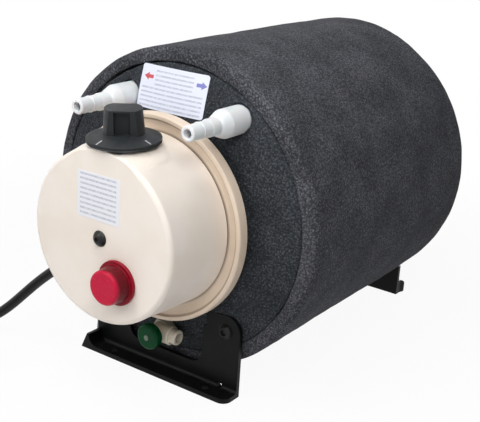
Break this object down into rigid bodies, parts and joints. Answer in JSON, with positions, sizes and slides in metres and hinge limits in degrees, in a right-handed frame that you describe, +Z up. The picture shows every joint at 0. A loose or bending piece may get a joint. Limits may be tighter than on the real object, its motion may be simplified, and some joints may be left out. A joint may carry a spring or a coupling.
{
  "type": "caravan water heater",
  "caption": "Compact electric water heater: foam-jacketed lying tank on moulded feet, cream front cover with thermostat knob and red lamp, hose tails, drain valve and mains cord.",
  "frame": {"origin": "middle of the four foot screw holes, on the floor", "axes": "+Z up, +Y along the tank's axis to the back, the cover faces -Y"},
  "size_m": [0.3376, 0.4159, 0.238],
  "materials": {
    "foam": "matt closed-cell foam, charcoal with pale flecks",
    "steel": "plain stainless steel",
    "brass": "plain brass",
    "copper": "drawn copper",
    "rubber_black": "satin black rubber and flexible cord sheath",
    "cream_plastic": "cream moulding, semi-gloss",
    "black_plastic": "black moulding, satin",
    "white_plastic": "white moulding",
    "clear_white_plastic": "milky nylon",
    "red_lens": "translucent red, glossy",
    "green_plastic": "dark green moulding",
    "brown_plastic": "brown phenolic and sheath",
    "blue_plastic": "blue sheath",
    "earth_plastic": "green and yellow sheath",
    "grey_plastic": "grey strap",
    "black_screws": "blackened screws"
  },
  "bodies": {
    "heater": {"foam_wrap_sleeve": "foam", "foam_front_disc": "foam", "foam_rear_disc": "foam", "tank": "steel", "flange_gasket": "rubber_black", "element_plate": "brass", "flange_bolts": "steel", "heating_element": "steel", "thermowell": "steel", "thermostat_bulb": "copper", "capillary": "copper", "thermostat_body": "white_plastic", "thermostat_nut": "steel", "thermal_cutout": "brown_plastic", "terminal_block": "white_plastic", "terminal_screws": "brass", "wire_live": "brown_plastic", "wire_neutral": "blue_plastic", "wire_earth": "earth_plastic", "cover_base_ring": "cream_plastic", "cover_seal": "rubber_black", "front_cover": "cream_plastic", "cover_stud": "steel", "cover_screw": "black_screws", "lamp_lens": "red_lens", "lamp_holder": "white_plastic", "lamp_nut": "white_plastic", "hot_tail": "clear_white_plastic", "cold_tail": "clear_white_plastic", "tail_seals": "rubber_black", "hot_pickup_tube": "steel", "cold_dip_tube": "steel", "drain_body": "white_plastic", "drain_seal_ring": "rubber_black", "drain_spring": "steel", "front_foot": "black_plastic", "rear_foot": "black_plastic", "foot_spacers": "white_plastic", "foot_washers": "black_screws", "foot_bolts": "black_screws", "cord_gland": "rubber_black", "mains_cord": "rubber_black", "cord_coil": "rubber_black", "coil_tie": "grey_plastic", "plug_body": "rubber_black", "plug_pins": "steel"},
    "thermostat_control": {"thermostat_knob": "black_plastic", "thermostat_spindle": "steel"},
    "drain_handle": {"drain_knob": "green_plastic"},
    "drain_plunger": {"drain_stem": "white_plastic", "drain_disc": "rubber_black"}
  },
  "joints": [
    {"name": "thermostat_turn", "type": "hinge", "parent": "heater", "child": "thermostat_control", "pos_m": [0, -0.1737, 0.1848], "axis": [0, -0.061, 0.9981], "range_deg": [-135, 135]},
    {"name": "drain_turn", "type": "hinge", "parent": "heater", "child": "drain_handle", "pos_m": [0, -0.1415, 0.0335], "axis": [0, -1, 0], "range_deg": [0, 90]},
    {"name": "drain_lift", "type": "slide", "parent": "heater", "child": "drain_plunger", "axis": [0, -1, 0], "range_m": [0, 0.002], "deforming": ["drain_spring"]}
  ],
  "couplings": [
    {"joint": "drain_turn", "follows": "drain_lift", "rad_per_m": 785.39}
  ]
}
